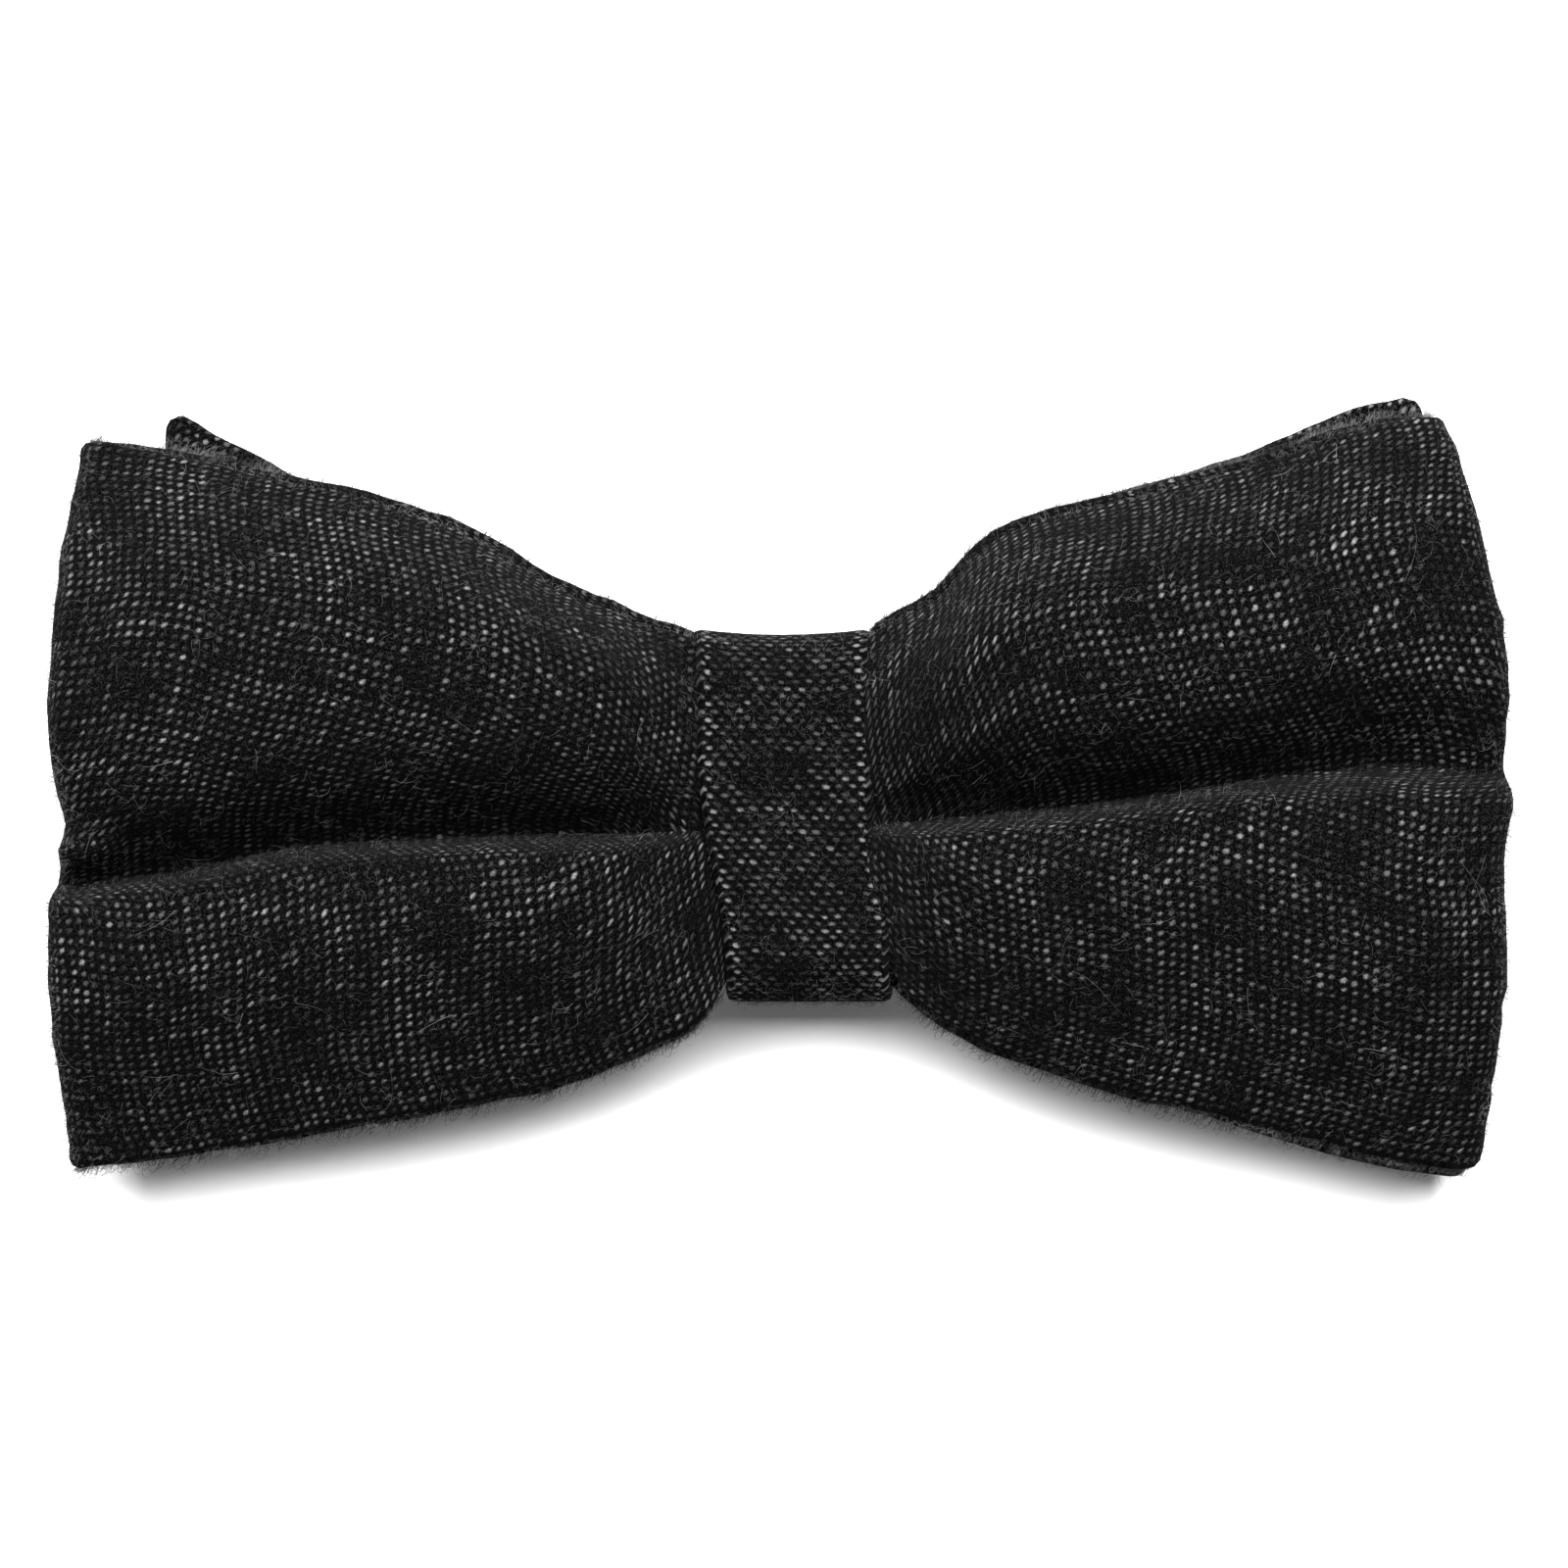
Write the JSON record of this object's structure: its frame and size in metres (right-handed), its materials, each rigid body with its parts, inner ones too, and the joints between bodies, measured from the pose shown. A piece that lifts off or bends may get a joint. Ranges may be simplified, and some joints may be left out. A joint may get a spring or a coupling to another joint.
{
  "type": "bow tie",
  "caption": "Ready-tied wool bow tie of two stacked bows gathered in a wrapped knot, with an adjustable neck band folded behind it and closed by a hook and eye.",
  "frame": {"origin": "on the ground below the middle of the bow as it lies on its back", "axes": "+Z out of the front face, +X along the bow to the wearer's left, +Y towards the bow's top edge"},
  "size_m": [0.12, 0.0647, 0.0178],
  "materials": {
    "wool": "two-tone woven wool, napped",
    "canvas": "plain woven interlining",
    "thread": "twisted polyester thread",
    "nickel": "polished nickel plate"
  },
  "bodies": {
    "bow": {"front_bow": "wool", "front_bow_interlining": "canvas", "front_bow_seam": "thread", "rear_bow": "wool", "rear_bow_interlining": "canvas", "rear_bow_seam": "thread", "gather_thread": "thread", "knot_wrap": "wool", "knot_interlining": "canvas", "knot_seam": "thread", "band_centre": "wool"},
    "left_1": {"band_left_bend": "wool", "band_left_1": "wool"},
    "left_2": {"band_left_fold_1": "wool", "band_left_2": "wool"},
    "left_3": {"band_left_fold_2": "wool", "band_left_3": "wool"},
    "left_4": {"band_left_fold_3": "wool", "band_left_4": "wool", "band_left_stitches": "thread"},
    "slider": {"slider": "nickel", "band_left_tail": "wool"},
    "hook": {"hook": "nickel"},
    "right_1": {"band_right_bend": "wool", "band_right_1": "wool"},
    "right_2": {"band_right_fold_1": "wool", "band_right_2": "wool"},
    "right_3": {"band_right_fold_2": "wool", "band_right_3": "wool"},
    "right_4": {"band_right_fold_3": "wool", "band_right_4": "wool", "band_right_stitches": "thread"},
    "eye": {"eye": "nickel"}
  },
  "joints": [
    {"name": "band_left_swing", "type": "hinge", "parent": "bow", "child": "left_1", "pos_m": [-0.01, -0.0028, 0.00555], "axis": [0, -1, 0], "range_deg": [0, 90], "deforming": ["band_left_bend"]},
    {"name": "band_left_unfold_1", "type": "hinge", "parent": "left_1", "child": "left_2", "pos_m": [-0.056, -0.0028, 0.0051], "axis": [0, 1, 0], "range_deg": [0, 180], "deforming": ["band_left_fold_1"]},
    {"name": "band_left_unfold_2", "type": "hinge", "parent": "left_2", "child": "left_3", "pos_m": [-0.014, -0.0028, 0.0042], "axis": [0, -1, 0], "range_deg": [0, 180], "deforming": ["band_left_fold_2"]},
    {"name": "band_left_unfold_3", "type": "hinge", "parent": "left_3", "child": "left_4", "pos_m": [-0.056, -0.0028, 0.00302], "axis": [0, 1, 0], "range_deg": [0, 180], "deforming": ["band_left_fold_3"]},
    {"name": "band_right_swing", "type": "hinge", "parent": "bow", "child": "right_1", "pos_m": [0.01, -0.0028, 0.00555], "axis": [0, 1, 0], "range_deg": [0, 90], "deforming": ["band_right_bend"]},
    {"name": "band_right_unfold_1", "type": "hinge", "parent": "right_1", "child": "right_2", "pos_m": [0.056, -0.0028, 0.0051], "axis": [0, -1, 0], "range_deg": [0, 180], "deforming": ["band_right_fold_1"]},
    {"name": "band_right_unfold_2", "type": "hinge", "parent": "right_2", "child": "right_3", "pos_m": [0.014, -0.0028, 0.0042], "axis": [0, 1, 0], "range_deg": [0, 180], "deforming": ["band_right_fold_2"]},
    {"name": "band_right_unfold_3", "type": "hinge", "parent": "right_3", "child": "right_4", "pos_m": [0.056, -0.0028, 0.00205], "axis": [0, -1, 0], "range_deg": [0, 180], "deforming": ["band_right_fold_3"]},
    {"name": "slider_slide", "type": "slide", "parent": "left_4", "child": "slider", "axis": [-1, 0, 0], "range_m": [-0.004, 0.01], "deforming": ["band_left_tail"]},
    {"name": "hook_swing", "type": "hinge", "parent": "left_4", "child": "hook", "pos_m": [-0.023, -0.0028, 0.00143], "axis": [0, 1, 0], "range_deg": [0, 95]},
    {"name": "eye_swing", "type": "hinge", "parent": "right_4", "child": "eye", "pos_m": [0.023, -0.0028, 0.00122], "axis": [0, -1, 0], "range_deg": [0, 95]}
  ],
  "couplings": [
    {"joint": "band_left_unfold_2", "follows": "band_left_unfold_1", "ratio": 1},
    {"joint": "band_left_unfold_3", "follows": "band_left_unfold_1", "ratio": 1},
    {"joint": "band_right_unfold_2", "follows": "band_right_unfold_1", "ratio": 1},
    {"joint": "band_right_unfold_3", "follows": "band_right_unfold_1", "ratio": 1}
  ]
}
